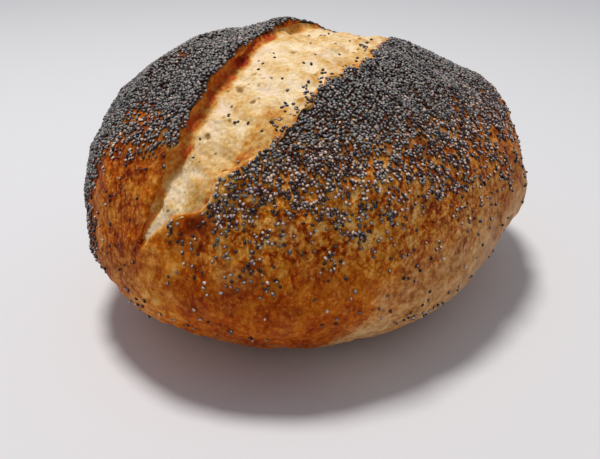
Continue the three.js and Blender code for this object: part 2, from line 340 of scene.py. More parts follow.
# Uneven skin: broad dents, knobs the size of a fingertip, dimples, and fine blisters on the crests of a field
RELIEF = ((34, 0.55), (11, 0.28), (4.5, 0.13))  # lengths, heights
BLISTER_LENGTH = 3.4
BLISTER_HEIGHT = 0.35
BLISTER_CRESTS = (0.9, 2.4)  # values of the field between which a blister rises
SMOOTH_FOOT = (1.0, 12.0)  # heights between which the relief comes in
blisters = smoothstep(*BLISTER_CRESTS, unevenness(crust_grid, BLISTER_LENGTH, 34))
relief = layered(crust_grid, RELIEF, 31) + BLISTER_HEIGHT * blisters
off_table = smoothstep(*SMOOTH_FOOT, crust_grid[..., 2])
crust_grid = crust_grid + (relief * off_table)[..., None] * grid_normals(crust_grid)
crust_grid[..., 2] = np.maximum(crust_grid[..., 2], 0)
crust_ends = np.stack([uncut_loaf(np.array(end), np.array(0.0)) for end in (1.0, -1.0)])

# Place in the frame: the middle of the crust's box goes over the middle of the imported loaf's box
crust_points = np.concatenate((crust_ends[:1], crust_grid.reshape(-1, 3), crust_ends[1:]))
crust_middle = (crust_points.max(0) + crust_points.min(0)) / 2 * (1, 1, 0)
cad_low, cad_high = (np.array(corner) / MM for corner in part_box("loaf"))
to_frame = (cad_low + cad_high) / 2 * (1, 1, 0) - crust_middle


def patch(points, middle, radii):
    """Soft patch, 1 in its middle, falling off as the Gauss curve of the distance over the radii."""
    return np.exp(-(((points - middle) / np.asarray(radii)) ** 2).sum(-1))


# How dark each place is baked, from 0, hardly, to 1, almost black: uneven all over, darkest in a red patch
# under the near end of the cut, and dark low at the near end, beyond the lip and along the near side
EVEN_BAKE = 0.42
BAKE_BLOTCHES = ((24, 0.05), (8, 0.06))  # lengths, strengths
BAKE_MOTTLE = (4.5, 0.09)  # the same for the finest blotches, which are weaker where the bake is dark
RED_PATCH = (-91, -24, 65)
RED_PATCH_SIZE = (6, 8.5, 4.5)
along, aside, height = crust_points.T
red_patch = patch(crust_points, RED_PATCH, RED_PATCH_SIZE)
low_front = smoothstep(-50, -62, along) * smoothstep(60, 42, height) * smoothstep(-8, -28, aside)
beyond = smoothstep(-10, 8, aside) * (0.65 + 0.35 * smoothstep(46, 68, height))
near_side = smoothstep(-60, -20, along) * smoothstep(0, -20, aside)
bake = EVEN_BAKE + layered(crust_points, BAKE_BLOTCHES, 41)
bake += 0.46 * red_patch + 0.23 * low_front + 0.2 * beyond + 0.09 * near_side
mottle_length, mottle_strength = BAKE_MOTTLE
evened = np.maximum(0.8 * np.maximum(low_front, red_patch), 0.5 * beyond)
bake += mottle_strength * (1 - evened) * unevenness(crust_points, mottle_length, 45, 60)

# Where it stayed pale and floury: the near side under a line that rises from the base at the front to half
# the height, and a little at the foot beyond the lip. Under a second, lower line the near side is mixed
# towards a pinkish tan.
PALE_LINE_PLACES = (-62, -55, -50, -36, -16)  # along the loaf
PALE_LINE_HEIGHTS = (8, 27, 36, 42, 49)
PALEST_LINE_PLACES = (-60, -40, -17, -3, 11, 40, 90)  # along the loaf
PALEST_LINE_HEIGHTS = (2, 12, 23, 29, 35, 33, 20)
pale_line = np.interp(along, PALE_LINE_PLACES, PALE_LINE_HEIGHTS) + 1.5 * unevenness(crust_points, 11, 44)
near_foot = smoothstep(13, -15, height - pale_line) * smoothstep(30, 0, aside)
far_foot = smoothstep(-12, 6, aside) * smoothstep(52, 32, height)
pale = np.maximum(0.85 * near_foot, 0.3 * far_foot) + 0.06 * unevenness(crust_points, 13, 43)
pale += 0.14 * near_side
palest_line = np.interp(along, PALEST_LINE_PLACES, PALEST_LINE_HEIGHTS)
over_palest = height - palest_line + 3 * unevenness(crust_points, 12, 46)
underside = smoothstep(9, -9, over_palest) * smoothstep(-10, -40, aside)
underside *= 0.55 + 0.14 * unevenness(crust_points, 5, 47)

# Painted shade of the seeds, which darkens the skin between them: on the crown, and further down beyond
# the lip, but not in the bald spots or the cut
BALD_SPOTS = (((-78, 15, 88), (7, 11, 4), 0.8), ((-52, 21, 102), (3, 3, 3), 0.4))  # middles, radii, bareness
FAR_SIDE_LOWER = 34.0  # how much lower seed reaches on the far side of the lip
FAR_END_LOWER = 3.0  # and at the far end
SEED_SHADE_HEIGHTS = (71, 97)  # between which the painted shade of the seeds comes in on the near side
SEED_SHADE_LOWERING = 0.75  # share of the seed's own lowering by which these heights go down
BALD_SHOWS = 1.6  # how much more the painted shade of the seeds lifts in a bald spot than seed is missing there


def seed_lowering(points):
    """How much lower than on the near flank seed reaches: far lower beyond the lip, from a line that nears
    the cut towards the far end, and a little lower at that end."""
    far_end = smoothstep(-40, 40, points[:, 0])
    beyond_lip = smoothstep(24 - 30 * far_end, 42 + 16 * far_end, points[:, 1])
    return FAR_SIDE_LOWER * beyond_lip + FAR_END_LOWER * smoothstep(0, 40, points[:, 0])


painted_seed_shade = smoothstep(*SEED_SHADE_HEIGHTS, height + SEED_SHADE_LOWERING * seed_lowering(crust_points))
for middle, radii, bareness in BALD_SPOTS:
    painted_seed_shade *= 1 - np.clip(BALD_SHOWS * bareness * patch(crust_points, middle, radii), 0, 1)

# Torn rim: paler than the skin, most so at the near end of the cut. Further along, the lip is darker.
FACE_FIRST = RIM_COLUMNS + TROUGH_COLUMNS  # columns from the open edge to the foot of the lip's face
LIP_FIRST = FACE_FIRST + FACE_COLUMNS  # columns from the open edge to the lip
LIP_EDGE_COLUMNS = 3  # behind the lip, as dark as its face
RIM_FADE = 3.5  # columns over which the paler rim fades into the skin
from_rim = np.arange(crust_grid.shape[1]) - OPEN_COLUMNS
in_cut = (from_rim >= 0) & (from_rim < LIP_FIRST)
in_rim = (from_rim > 0) & (from_rim < FACE_FIRST)
in_face = (from_rim >= FACE_FIRST) & (from_rim < LIP_FIRST + LIP_EDGE_COLUMNS)
by_rim = np.maximum(in_rim, np.exp(-(from_rim / RIM_FADE) ** 2))
near_end = (0.5 + 0.5 * smoothstep(-58, -74, crust_grid[..., 0])) * opened
painted_seed_shade[1:-1] *= np.tile(~in_cut, len(crust_share))
bake[1:-1] -= 0.3 * (near_end * by_rim).ravel()
bake[1:-1] += 0.06 * (smoothstep(-80, -58, crust_grid[..., 0]) * in_face).ravel()
pale[1:-1] += 0.25 * (near_end * in_rim).ravel()

# How strongly fine mottling shows: most on the upper near side, less towards the far end and in dark places
grainy = 0.4 + 0.5 * smoothstep(36, 64, height) * smoothstep(-18, -36, aside)
grainy += 0.15 * smoothstep(30, 46, height) * smoothstep(-10, 4, aside)
grainy *= 1 - 0.35 * smoothstep(-20, 30, along)
grainy *= 1 - np.maximum(0.75 * red_patch, 0.3 * low_front)

crust_quads, crust_triangles, crust_maps = ring_faces(len(crust_share), crust_grid.shape[1])
crust = make_piece("baked_crust", crust_points + to_frame, crust_quads, crust_triangles, crust_maps,
                   {"bake": bake, "pale": pale, "underside": underside, "painted_seed_shade": painted_seed_shade, "grainy": grainy})


def colour(hexadecimal):
    """Linear red, green, blue and alpha of an sRGB colour such as c08030."""
    srgb = np.array([int(hexadecimal[i:i + 2], 16) for i in (0, 2, 4)]) / 255
    linear = np.where(srgb <= 0.04045, srgb / 12.92, ((srgb + 0.055) / 1.055) ** 2.4)
    return (*linear.tolist(), 1.0)


def node(tree, kind, settings=None, inputs=None, stops=()):
    """Adds a node, sets its properties, sets or links its inputs by name or number, and gives a colour ramp
    its stops, each a place and a colour."""
    made = tree.nodes.new(kind)
    for key, value in (settings or {}).items():
        setattr(made, key, value)
    for key, value in (inputs or {}).items():
        if isinstance(value, bpy.types.NodeSocket):
            tree.links.new(value, made.inputs[key])
        else:
            made.inputs[key].default_value = value
    for index, (place, shade) in enumerate(stops):
        if index >= len(made.color_ramp.elements):
            made.color_ramp.elements.new(place)
        made.color_ramp.elements[index].position = place
        made.color_ramp.elements[index].color = colour(shade)
    return made


def new_material(name):
    """Empty node material: the material, its tree and its principled shader."""
    material = bpy.data.materials.new(name)
    material.use_nodes = True
    return material, material.node_tree, material.node_tree.nodes["Principled BSDF"]


# Baked wheat crust: starch and sugar browned to amber and red-brown, mottled with gold where fine blisters
# stand, floury and tan low down, porous and dry so that it gives back little gloss
AMBER = ((0.0, "f2ba6c"), (0.2, "e0943a"), (0.42, "ca6e14"), (0.62, "ae4c06"), (0.8, "8e3004"),
         (1.0, "581604"))
DUSTY = ((0.1, "e8c292"), (0.5, "cc965c"), (0.9, "96582a"))
# Pinkish tan that the near side is mixed to under the lower line
LOW_PINK_TAN = "c59e7e"
GRANULE = "e8b464"
GOLD = "e09c34"
# Painted shade between the seeds: the dark brown that the skin is mixed to under dense seed
SEED_SHADE_BROWN = "3c2012"
MOTTLE_SIZE = 1.8  # mm across one spot
SPECK_SIZE = 1.1
GOLD_SIZE = 3.4
WRINKLE_DEPTH = 0.9

crust_material, tree, shader = new_material("baked_wheat_crust")
place = node(tree, "ShaderNodeTexCoord").outputs["Object"]
baked, paled, low_pink_tan_share, seed_shaded, grained = (
    node(tree, "ShaderNodeAttribute", {"attribute_name": name}).outputs["Fac"]
    for name in ("bake", "pale", "underside", "painted_seed_shade", "grainy"))
upright = node(tree, "ShaderNodeMapping", inputs={"Vector": place, "Scale": (1, 1, 0.8)}).outputs["Vector"]

# Mottling and specks move the bake up and down
mottle = node(tree, "ShaderNodeTexNoise", inputs={
    "Vector": upright, "Scale": 1 / (MOTTLE_SIZE * MM), "Detail": 2.0, "Roughness": 0.5}).outputs["Fac"]
specks = node(tree, "ShaderNodeTexNoise", inputs={
    "Vector": place, "Scale": 1 / (SPECK_SIZE * MM), "Detail": 2.0, "Roughness": 0.5}).outputs["Fac"]
patchy = node(tree, "ShaderNodeMapRange", {"interpolation_type": "SMOOTHSTEP"}, {
    "Value": mottle, "From Min": 0.34, "From Max": 0.66, "To Min": 0.3, "To Max": -0.3}).outputs[0]
tone = node(tree, "ShaderNodeMath", {"operation": "MULTIPLY_ADD"},
            {0: patchy, 1: grained, 2: baked}).outputs[0]
fine = node(tree, "ShaderNodeMath", {"operation": "SUBTRACT"}, {0: specks, 1: 0.5}).outputs[0]
fine = node(tree, "ShaderNodeMath", {"operation": "MULTIPLY"}, {0: fine, 1: grained}).outputs[0]
softer = node(tree, "ShaderNodeMath", {"operation": "MULTIPLY"}, {0: fine, 1: 0.5}).outputs[0]
tone = node(tree, "ShaderNodeMath", {"operation": "SUBTRACT"}, {0: tone, 1: softer}).outputs[0]
grit = node(tree, "ShaderNodeMath", {"operation": "MULTIPLY_ADD"}, {0: fine, 1: 1.6, 2: 1.0}).outputs[0]

# Amber skin, flour rubbed into it, a pinkish tan low on the near side, and grit
amber = node(tree, "ShaderNodeValToRGB", inputs={"Fac": tone}, stops=AMBER).outputs["Color"]
dusty = node(tree, "ShaderNodeValToRGB", inputs={"Fac": tone}, stops=DUSTY).outputs["Color"]
rubbed_and_highlit = node(tree, "ShaderNodeMath", {"operation": "MULTIPLY_ADD"}, {0: mottle, 1: 1.0, 2: 0.5}).outputs[0]
dust = node(tree, "ShaderNodeMath", {"operation": "MULTIPLY", "use_clamp": True},
            {0: paled, 1: rubbed_and_highlit}).outputs[0]
skin = node(tree, "ShaderNodeMix", {"data_type": "RGBA"}, {0: dust, 6: amber, 7: dusty}).outputs[2]
skin = node(tree, "ShaderNodeMix", {"data_type": "RGBA"},
            {0: low_pink_tan_share, 6: skin, 7: colour(LOW_PINK_TAN)}).outputs[2]
skin = node(tree, "ShaderNodeMix", {"data_type": "RGBA", "blend_type": "MULTIPLY"},
            {0: 1.0, 6: skin, 7: grit}).outputs[2]

# Pale granules, golden spots, and the painted shade that darkens the skin between the seeds
granules = node(tree, "ShaderNodeMapRange", {"interpolation_type": "SMOOTHSTEP"}, {
    "Value": specks, "From Min": 0.58, "From Max": 0.68, "To Min": 0.0, "To Max": 0.75}).outputs[0]
granules = node(tree, "ShaderNodeMath", {"operation": "MULTIPLY"}, {0: granules, 1: grained}).outputs[0]
skin = node(tree, "ShaderNodeMix", {"data_type": "RGBA"},
            {0: granules, 6: skin, 7: colour(GRANULE)}).outputs[2]
golden = node(tree, "ShaderNodeTexNoise", inputs={
    "Vector": place, "Scale": 1 / (GOLD_SIZE * MM), "Detail": 1.0}).outputs["Fac"]
golden = node(tree, "ShaderNodeMapRange", {"interpolation_type": "SMOOTHSTEP"}, {
    "Value": golden, "From Min": 0.52, "From Max": 0.7, "To Min": 0.0, "To Max": 0.5}).outputs[0]
golden = node(tree, "ShaderNodeMath", {"operation": "MULTIPLY"}, {0: golden, 1: grained}).outputs[0]
skin = node(tree, "ShaderNodeMix", {"data_type": "RGBA"},
            {0: golden, 6: skin, 7: colour(GOLD)}).outputs[2]
skin = node(tree, "ShaderNodeMix", {"data_type": "RGBA"},
            {0: seed_shaded, 6: skin, 7: colour(SEED_SHADE_BROWN)}).outputs[2]
tree.links.new(skin, shader.inputs["Base Color"])
shader.inputs["Roughness"].default_value = 0.5
shader.inputs["IOR"].default_value = 1.45
shader.inputs["Specular IOR Level"].default_value = 0.05
wrinkle = node(tree, "ShaderNodeBump", inputs={
    "Height": fine, "Distance": WRINKLE_DEPTH * MM, "Strength": 1.0})
tree.links.new(wrinkle.outputs["Normal"], shader.inputs["Normal"])
crust.data.materials.append(crust_material)
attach(crust, "root")
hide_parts("loaf")

# Torn crumb
# The inside of the dough where the cut opened in the oven: strands drawn out across the opening, with pores,
# and toasted along the crust's edge and up the face of the lip, to which it clings.
CRUMB_RINGS = 560
CRUMB_COLUMNS = 150
BED_COLUMNS = 12  # hidden underside
CRUMB_ENDS = (19.0, 172.0)  # degrees of its first and last ring, whose cosine is the share of the half length
FACE_SHARE = 0.2  # share of the columns that go up the face of the lip
TUCK = 1.5  # degrees by which the crumb reaches under the crust's open edge
TOP_TUCK_SIDE = 2.5  # how far its upper edge is tucked in behind the lip
TOP_TUCK_DOWN = 1.5
TOP_TUCK_START = 0.85  # share of the face's height at which this starts
BED_DEPTH = 5.0
TIP_SINK = 1.2  # how far the ends of the crumb sink under the crust

crumb_share = np.cos(np.linspace(*np.radians(CRUMB_ENDS), CRUMB_RINGS))
cut = Cut(crumb_share)
opened = cut.opened[:, None]
top = np.linspace(0, 1, CRUMB_COLUMNS)
floor_columns = top <= 1 - FACE_SHARE
floor_steps = top[floor_columns] / (1 - FACE_SHARE)
face_steps = (top[~floor_columns] - (1 - FACE_SHARE)) / FACE_SHARE
floor_angle = between(cut.edge + np.radians(TUCK) * cut.opened, cut.foot, floor_steps)
floor_up = cut.floor(floor_steps[None, :]) - TIP_SINK * (1 - opened)
face_side, face_up = cut.lip_face(face_steps[None, :])
tuck_in = smoothstep(TOP_TUCK_START, 1.0, face_steps)[None, :] * opened
face_side = face_side + TOP_TUCK_SIDE * tuck_in
face_up = face_up - TIP_SINK * (1 - opened) - TOP_TUCK_DOWN * tuck_in
crumb_grid = np.concatenate((
    placed(crumb_share, floor_angle, 0 * floor_steps, floor_up),
    placed(crumb_share, between(cut.foot, cut.lip, face_steps), face_side, face_up),
), 1)
across = top[None, :] + 0 * opened

# Strands run across the cut, so their field is stretched that way, and so is that of the broader tears
STRAND_STRETCH = (1, 0.35, 0.5)
TEAR_STRETCH = (1, 1.4, 1)  # after that
stretched = crumb_grid * STRAND_STRETCH
strands = unevenness(stretched, 1.9, 51, 40)
tears = unevenness(stretched * TEAR_STRETCH, 5.5, 52, 40)
grain = unevenness(crumb_grid, 1.5, 53, 60)
swell = unevenness(crumb_grid, 17.0, 54)
knobs = unevenness(crumb_grid, 6.0, 58, 40)
crumb_relief = 0.5 * swell + 0.25 * knobs + 0.14 * tears + 0.06 * strands + 0.08 * grain

# Pores: pits twice as long as wide, a few of them large
PORES = 56
LARGE_PORES = (  # along the loaf, across it, size
    (-56, -11, 1.2), (-74, -14, 1.1), (-48, -10, 0.9), (-28, -11, 1.0), (-58, -19, 0.8), (-79, -26, 0.8),
    (-67, -17, 0.7), (-10, 2, 0.8))
PORE_WINDOW = 14  # rings and columns round a pore that it can reach
PORE_FREE_RINGS = 20  # at both ends of the crumb
PORE_COLUMN_SHARES = (0.06, 0.8)
SMALLEST_PORE = 0.28
PORE_RANGE = 0.35
PORE_SLENDER = 0.75  # share of the square of the distance along a pore that doesn't count
PIT_DEPTH = 0.8  # for a pore of size 1
random = np.random.default_rng(61)
pore_ring = random.integers(PORE_FREE_RINGS, CRUMB_RINGS - PORE_FREE_RINGS, PORES)
pore_column = (random.uniform(*PORE_COLUMN_SHARES, PORES) * CRUMB_COLUMNS).astype(int)
pore_size = SMALLEST_PORE + PORE_RANGE * random.uniform(0, 1, PORES) ** 2
for pore, (pore_along, pore_aside, size) in enumerate(LARGE_PORES):
    away = np.abs(crumb_grid[..., 0] - pore_along) + np.abs(crumb_grid[..., 1] - pore_aside)
    pore_ring[pore], pore_column[pore] = np.unravel_index(np.argmin(away), away.shape)
    pore_size[pore] = size
pore_turn = random.uniform(0, np.pi, PORES)
# How far each point lies inside a pore, for the painted shade there, and how deep the pits are
pores = np.zeros(crumb_grid.shape[:2])
pits = np.zeros(crumb_grid.shape[:2])
for ring, column, size, angle in zip(pore_ring, pore_column, pore_size, pore_turn):
    window = np.s_[ring - PORE_WINDOW:ring + PORE_WINDOW, max(column - PORE_WINDOW, 0):column + PORE_WINDOW]
    offset = crumb_grid[window] - crumb_grid[ring, column]
    lengthwise = offset[..., 0] * np.cos(angle) + offset[..., 1] * np.sin(angle)
    distance = np.sqrt(np.maximum((offset ** 2).sum(-1) - PORE_SLENDER * lengthwise ** 2, 0)) / size
    pores[window] = np.maximum(pores[window], smoothstep(1.0, 0.45, distance))
    pits[window] = np.maximum(pits[window], smoothstep(1.0, 0.3, distance) * size)
crumb_relief -= PIT_DEPTH * pits
calm = opened * (1 - smoothstep(0.84, 0.94, across))
crumb_grid = crumb_grid + (crumb_relief * calm)[..., None] * grid_normals(crumb_grid)

# Toast up the face of the lip: strong and uneven, and from further up and weaker towards the far end. It is
# deepest around the middle, where the lip overhangs most, and towards the top of the face: real toasting,
# partly deepened as painted shade under the lip.
TOAST_PLACES = (-98, -80, -66, -59, -40, -25, -8, 20)  # along the loaf
TOAST_STARTS = (-0.1, -0.05, 0.05, 0.0, -0.1, 0.0, 0.25, 0.5)  # share of the face's height where it starts
TOAST_SHARES = (0.48, 0.49, 0.5, 0.6, 0.66, 0.46, 0.27, 0.22)
LOBE_STRETCH = (1, 0.5, 0.5)
crumb_along = crumb_grid[..., 0]
face_part = (across - (1 - FACE_SHARE)) / FACE_SHARE
near = smoothstep(-58, -70, crumb_along)
lobes = unevenness(crumb_grid * LOBE_STRETCH, 7, 59)
start = np.interp(crumb_along, TOAST_PLACES, TOAST_STARTS)
# The power keeps the lower face golden and darkens its top, partly painted shade under the lip
up_face = smoothstep(start - 0.35, start + 0.3, face_part + 0.07 * lobes + 0.05 * tears) ** 1.5
toast = np.interp(crumb_along, TOAST_PLACES, TOAST_SHARES) + (0.07 - 0.05 * near) * lobes
toast *= up_face

# Toast along the open edge: in patches and as a narrow line, which is broader and weaker at the near end
edge_patches = smoothstep(0.0, 1.8, unevenness(crumb_grid, 10, 55) + 0.6 * unevenness(crumb_grid, 4, 56))
edge_line = smoothstep(0.1 + 0.25 * near, 0.0, across)
toast = np.maximum(toast, 0.32 * edge_patches * smoothstep(0.4, 0.05, across))
toast = np.maximum(toast, (0.3 - 0.12 * near) * edge_line)

# Toast all over: uneven, more towards the far end and on the floor near the front, less at its very end
HONEY_PATCH = (-82, -18, 77)
HONEY_PATCH_SIZE = (5, 6, 9)
toast += 0.02 * tears + 0.04 * knobs + 0.04 * unevenness(crumb_grid, 12, 60) - 0.055
toast += 0.07 * smoothstep(-60, -10, crumb_along)
toast += 0.15 * smoothstep(-48, -72, crumb_along) * smoothstep(0.75, 0.35, across)
toast += 0.1 * patch(crumb_grid, HONEY_PATCH, HONEY_PATCH_SIZE)
toast -= 0.08 * smoothstep(-84, -91, crumb_along) * smoothstep(0.8, 0.6, across)

# Streaks beside the open edge, toasted up to a strength
TOASTED_STREAKS = (  # middles, radii, strength
    ((-60, -29, 92), (8, 2.8, 6), 0.32),
    ((-17, -27, 101), (8, 2.8, 5), 0.28),
    ((11, -14.5, 102), (8, 2.6, 5), 0.25))
for middle, radii, strength in TOASTED_STREAKS:
    toast += patch(crumb_grid, middle, radii) * np.maximum(strength + 0.04 * knobs - toast, 0)

bed = np.linspace(1, 0, BED_COLUMNS + 2)[1:-1]
bed_up = -BED_DEPTH * opened - 2 * TIP_SINK + 0 * bed
bed_grid = placed(crumb_share, between(cut.edge, cut.lip, bed), 0 * bed, bed_up)
crumb_grid = np.concatenate((crumb_grid, bed_grid), 1)
unseen = np.zeros((CRUMB_RINGS, BED_COLUMNS))
crumb_ends = crumb_grid[[0, -1]].mean(1)
crumb_points = np.concatenate((crumb_ends[:1], crumb_grid.reshape(-1, 3), crumb_ends[1:]))


def with_ends(values):
    """Values of the crumb's visible columns, filled up for its hidden columns and its two ends."""
    whole = np.concatenate((values, unseen), 1).ravel()
    return np.concatenate(((0,), whole, (0,)))


crumb_quads, crumb_triangles, crumb_maps = ring_faces(CRUMB_RINGS, crumb_grid.shape[1])
crumb = make_piece("torn_crumb", crumb_points + to_frame, crumb_quads, crumb_triangles, crumb_maps,
                   {"toast": with_ends(toast), "pore": with_ends(pores)})

# Open wheat crumb: pale cream starch, soft and dull, with honey and brown toasting, and with painted shade
# in its pores
CREAM = ((0.0, "fbe6c2"), (0.13, "efd09a"), (0.26, "e4b976"), (0.42, "d69c48"), (0.53, "c87a2a"),
         (0.68, "be4e0e"), (0.84, "b2360a"), (1.0, "6c1e06"))
MILKY = "fadfc4"
# Brown of the painted shade inside the pores
PORE_SHADE_BROWN = "946a2c"
CLOUD_SIZE = 3.5  # mm across one cloud
FIBRE_SIZE = 1.3
MILKY_SIZE = 5.0
FURROW_DEPTH = 0.5

crumb_material, tree, shader = new_material("open_wheat_crumb")
place = node(tree, "ShaderNodeTexCoord").outputs["Object"]
toasted, pored = (
    node(tree, "ShaderNodeAttribute", {"attribute_name": name}).outputs["Fac"]
    for name in ("toast", "pore"))
clouds = node(tree, "ShaderNodeTexNoise", inputs={
    "Vector": place, "Scale": 1 / (CLOUD_SIZE * MM), "Detail": 4.0, "Roughness": 0.6}).outputs["Fac"]
fibres = node(tree, "ShaderNodeTexNoise", inputs={
    "Vector": place, "Scale": 1 / (FIBRE_SIZE * MM), "Detail": 4.0, "Roughness": 0.65}).outputs["Fac"]
milk = node(tree, "ShaderNodeTexNoise", inputs={
    "Vector": place, "Scale": 1 / (MILKY_SIZE * MM), "Detail": 1.0}).outputs["Fac"]
shift = node(tree, "ShaderNodeMath", {"operation": "MULTIPLY_ADD"}, {0: clouds, 1: 0.36, 2: -0.05}).outputs[0]
tone = node(tree, "ShaderNodeMath", {"operation": "ADD"}, {0: toasted, 1: shift}).outputs[0]
fleck = node(tree, "ShaderNodeMath", {"operation": "MULTIPLY_ADD"}, {0: fibres, 1: 0.8, 2: -0.4}).outputs[0]
tone = node(tree, "ShaderNodeMath", {"operation": "SUBTRACT"}, {0: tone, 1: fleck}).outputs[0]
cream = node(tree, "ShaderNodeValToRGB", inputs={"Fac": tone}, stops=CREAM).outputs["Color"]
milky = node(tree, "ShaderNodeMath", {"operation": "MULTIPLY_ADD", "use_clamp": True},
             {0: milk, 1: 3.0, 2: -1.5}).outputs[0]
untoasted = node(tree, "ShaderNodeMath", {"operation": "MULTIPLY_ADD", "use_clamp": True},
                 {0: toasted, 1: -6.0, 2: 1.0}).outputs[0]
milky = node(tree, "ShaderNodeMath", {"operation": "MULTIPLY"}, {0: milky, 1: untoasted}).outputs[0]
cream = node(tree, "ShaderNodeMix", {"data_type": "RGBA"},
             {0: milky, 6: cream, 7: colour(MILKY)}).outputs[2]
# Painted shade inside the pores: the crumb darkens towards each pore's middle
pore_shade = node(tree, "ShaderNodeMath", {"operation": "MULTIPLY"}, {0: pored, 1: 0.75}).outputs[0]
cream = node(tree, "ShaderNodeMix", {"data_type": "RGBA"},
             {0: pore_shade, 6: cream, 7: colour(PORE_SHADE_BROWN)}).outputs[2]
tree.links.new(cream, shader.inputs["Base Color"])
shader.inputs["Roughness"].default_value = 0.6
shader.inputs["IOR"].default_value = 1.45
shader.inputs["Specular IOR Level"].default_value = 0.2
furrows = node(tree, "ShaderNodeBump", inputs={
    "Height": fibres, "Distance": FURROW_DEPTH * MM, "Strength": 0.7})
tree.links.new(furrows.outputs["Normal"], shader.inputs["Normal"])
crumb.data.materials.append(crumb_material)
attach(crumb, "root")
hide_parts("loaf")

# Poppy seed
# Whole poppy seeds, pressed onto the damp dough before it was baked: small kidneys, slate grey to blue-black.
# They cover the crown, lie in clusters further down, and are almost gone from the foot. Some fell into the
# open cut.
SEED_LENGTH = 1.4  # at the upper end of the real size, so that single seeds show
SEED_WIDTH = 1.08
SEED_HEIGHT = 1.06
SEED_BEND = 0.22  # how far the kidney curves, as a share of its length
SEED_RINGS = 3
SEED_SIDES = 5
SEED_SPACING = 1.13  # distance between neighbours where they lie close
SEED_SCATTER = 0.22  # how far a seed lies off its even place, as a share of the spacing
SEED_CELL = 0.87  # area that a seed has to itself, as a share of the square of the spacing
SPARE_AREA = 1.08  # how many times too large LENGTH x WIDTH x pi is for the loaf's skin
LOWEST_DIRECTION = -0.35  # sine of the angle under the waist below which no seed lies
LARGEST_SEED_SHARE = 0.9995  # share of the half length past which no seed lies
SEEDED_LIP = 0.3  # degrees by which seed reaches round the edge of the lip
SEEDED_FACE = 0.04  # share of the lip's face that this covers

# Even directions: a spiral over a sphere that turns on by the golden angle from one seed to the next, each
# then moved a little at random
directions = int(LENGTH * WIDTH * np.pi / SPARE_AREA / (SEED_SPACING ** 2 * SEED_CELL))
random = np.random.default_rng(71)
index = np.arange(directions)
upward = 1 - 2 * (index + 0.5) / directions
turn = index * np.pi * (3 - np.sqrt(5))
level = np.sqrt(1 - upward ** 2)
jitter = random.normal(0, SEED_SCATTER * SEED_SPACING / (WIDTH / 2), (directions, 3))
even = np.stack((level * np.cos(turn), level * np.sin(turn), upward), -1) + jitter
even /= np.linalg.norm(even, axis=1, keepdims=True)
even = even[even[:, 2] > LOWEST_DIRECTION]

# Ring and column of the crust under each direction
lip_column = OPEN_COLUMNS + LIP_FIRST
seed_share = np.clip(even[:, 0], -LARGEST_SEED_SHARE, LARGEST_SEED_SHARE)
seed_angle = np.arctan2(even[:, 2], even[:, 1])
seed_angle = np.where(seed_angle < -np.pi / 2, seed_angle + 2 * np.pi, seed_angle)
seed_cut = Cut(seed_share)
open_part = (BOTTOM - seed_angle) / (BOTTOM - seed_cut.edge)
back_part = (seed_cut.lip - seed_angle) / (seed_cut.lip - (BOTTOM - 2 * np.pi))
over_lip = (seed_angle - seed_cut.lip) / np.radians(SEEDED_LIP)
on_open = (open_part >= 0) & (open_part < 1)
on_back = (over_lip < 1) & (back_part < 1)
open_column = (1 - (1 - np.clip(open_part, 0, 1)) ** (1 / OPEN_CROWDING)) * OPEN_COLUMNS
back_column = lip_column + np.clip(back_part, 0, 1) ** (1 / BACK_CROWDING) * BACK_COLUMNS
back_column = np.where(over_lip > 0, lip_column - SEEDED_FACE * FACE_COLUMNS * over_lip, back_column)
seed_column = np.where(on_open, open_column, back_column)
seed_ring = np.arccos(seed_share) / np.pi * CRUST_RINGS - 1
crust_normals = grid_normals(crust_grid)


def on_grid(grid, ring, column):
    """Value of a grid between its rings and columns, in straight steps, the columns running round."""
    ring = np.clip(ring, 0, grid.shape[0] - 1.001)
    low, side = np.floor(ring).astype(int), np.floor(column).astype(int)
    up, along = (ring - low)[:, None], (column - side)[:, None]
    side, beside = side % grid.shape[1], (side + 1) % grid.shape[1]
    near = grid[low, side] * (1 - along) + grid[low, beside] * along
    return near * (1 - up) + (grid[low + 1, side] * (1 - along) + grid[low + 1, beside] * along) * up


seed_place = on_grid(crust_grid, seed_ring, seed_column)
seed_normal = on_grid(crust_normals, seed_ring, seed_column)

# Chance that a seed lies there: all of the crown, clusters below, further down beyond the lip and towards the
# far end, and dense beside the open edge
COVER_HEIGHTS = (40, 54, 62, 68, 74, 80, 85, 90)
COVER_SHARES = (0.01, 0.05, 0.16, 0.32, 0.56, 0.74, 0.92, 1.0)  # of the crust that seed covers there
LOW_CLUSTERS = np.array((
    (-89, -37, 46), (-83, -46, 47), (-85, -42, 52), (-67, -59, 54), (-86.5, -27.5, 70.5), (-84, -34, 68),
    (-86, -32, 66)))
LOW_CLUSTER_SIZE = 2.6
LOW_CLUSTER_CHANCE = 0.55
SEEDED_PATCHES = (  # middles, radii, chance added
    ((-57, -46, 84), (21, 12, 8), 0.45),
    ((-34, -72, 22), (11, 6, 3), 0.22),
    ((-92, 31, 42), (6, 6, 9), 0.4))
seed_along, seed_aside, seed_height = seed_place.T
wander = 3.2 * unevenness(seed_place, 14, 81) + 2.4 * unevenness(seed_place, 5, 83)
lower = seed_lowering(seed_place)
clusters = 0.8 * unevenness(seed_place, 4.8, 82, 60) + 0.7 * unevenness(seed_place, 2.9, 84, 60)
chance = np.interp(seed_height + lower + wander, COVER_HEIGHTS, COVER_SHARES)
chance *= np.clip(1 + 1.6 * (1 - chance) * clusters, 0.04, 2.9)
chance *= 1 - 0.6 * smoothstep(-5, 30, seed_along) * smoothstep(74, 66, seed_height + lower)
chance += sum(LOW_CLUSTER_CHANCE * patch(seed_place, middle, LOW_CLUSTER_SIZE) for middle in LOW_CLUSTERS)
for middle, radii, added in SEEDED_PATCHES:
    chance += added * patch(seed_place, middle, radii)

